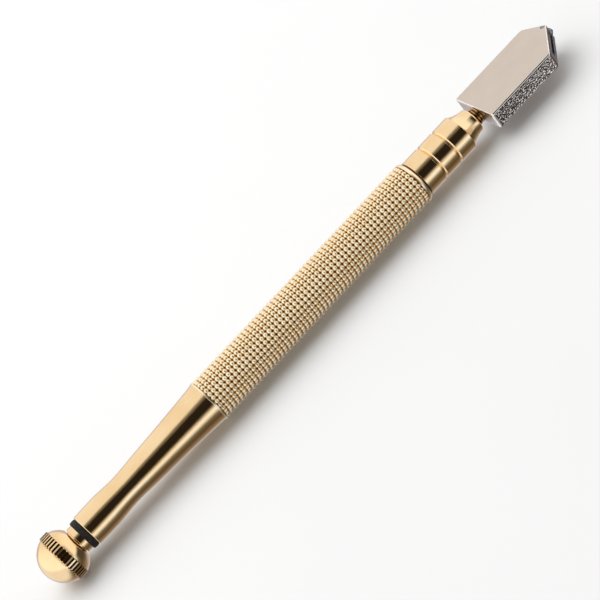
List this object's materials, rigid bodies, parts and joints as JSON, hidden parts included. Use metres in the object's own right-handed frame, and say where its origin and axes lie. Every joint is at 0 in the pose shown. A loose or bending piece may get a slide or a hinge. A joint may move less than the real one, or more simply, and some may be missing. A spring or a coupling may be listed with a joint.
{
  "type": "glass cutter",
  "caption": "Oil-fed pencil glass cutter: knurled brass handle with waisted reservoir tail and screw cap, wide flat swivel head with a small scoring wheel in its offset point.",
  "frame": {"origin": "halfway along the tool, on the handle's axis", "axes": "+X along the handle towards the cutting wheel, +Y across the head's wide faces towards the side its point leans to, +Z out of a wide face"},
  "size_m": [0.1782, 0.0158, 0.0134],
  "materials": {
    "polished_brass": "polished, faint turning lines",
    "knurled_brass": "knurled, bright crests with dark roots",
    "turned_brass": "as turned",
    "nickel_plate": "satin nickel on the wide faces, grainy on the narrow faces",
    "carbide": "ground tungsten carbide",
    "steel_pin": "ground",
    "bright_steel": "polished",
    "spring_steel": "drawn wire",
    "black_rubber": "matte",
    "white_nylon": "plain",
    "cotton_wick": "twisted cotton"
  },
  "bodies": {
    "handle": {"barrel": "polished_brass", "grip_sleeve": "knurled_brass", "nose_gasket": "black_rubber", "nose_ferrule": "polished_brass", "stem_o_ring": "black_rubber", "thrust_washer": "white_nylon", "valve_seat": "turned_brass", "ball_cage": "turned_brass", "ball_spring": "spring_steel", "return_spring": "spring_steel"},
    "plunger": {"spring_cup": "turned_brass", "limit_pin": "steel_pin", "push_rod": "steel_pin"},
    "valve": {"valve_ball": "bright_steel"},
    "head": {"head_stem": "turned_brass", "head_block": "nickel_plate", "wick": "cotton_wick", "wheel_axle": "steel_pin"},
    "wheel": {"cutting_wheel": "carbide"},
    "cap_seal": {"cap_gasket": "black_rubber"},
    "cap": {"oil_cap": "polished_brass"}
  },
  "joints": [
    {"name": "head_press", "type": "slide", "parent": "handle", "child": "plunger", "axis": [-1, 0, 0], "range_m": [0, 0.0008], "stiffness_N_per_m": 3000, "springref_m": -0.0012, "deforming": ["return_spring"]},
    {"name": "head_swivel", "type": "hinge", "parent": "plunger", "child": "head", "pos_m": [0.0456, 0, 0], "axis": [1, 0, 0], "range_deg": [-15, 15]},
    {"name": "wheel_spin", "type": "hinge", "parent": "head", "child": "wheel", "pos_m": [0.0875, 0.00195, 0], "axis": [0, 0, 1], "continuous": true},
    {"name": "valve_lift", "type": "slide", "parent": "handle", "child": "valve", "axis": [-1, 0, 0], "range_m": [0, 0.0008], "deforming": ["ball_spring"]},
    {"name": "cap_lift", "type": "slide", "parent": "handle", "child": "cap_seal", "axis": [-1, 0, 0], "range_m": [0, 0.006]},
    {"name": "cap_turn", "type": "hinge", "parent": "cap_seal", "child": "cap", "pos_m": [-0.0751, 0, 0], "axis": [-1, 0, 0], "range_deg": [0, 2885]}
  ],
  "couplings": [
    {"joint": "valve_lift", "follows": "head_press", "ratio": 1},
    {"joint": "cap_turn", "follows": "cap_lift", "rad_per_m": 8377.6}
  ]
}
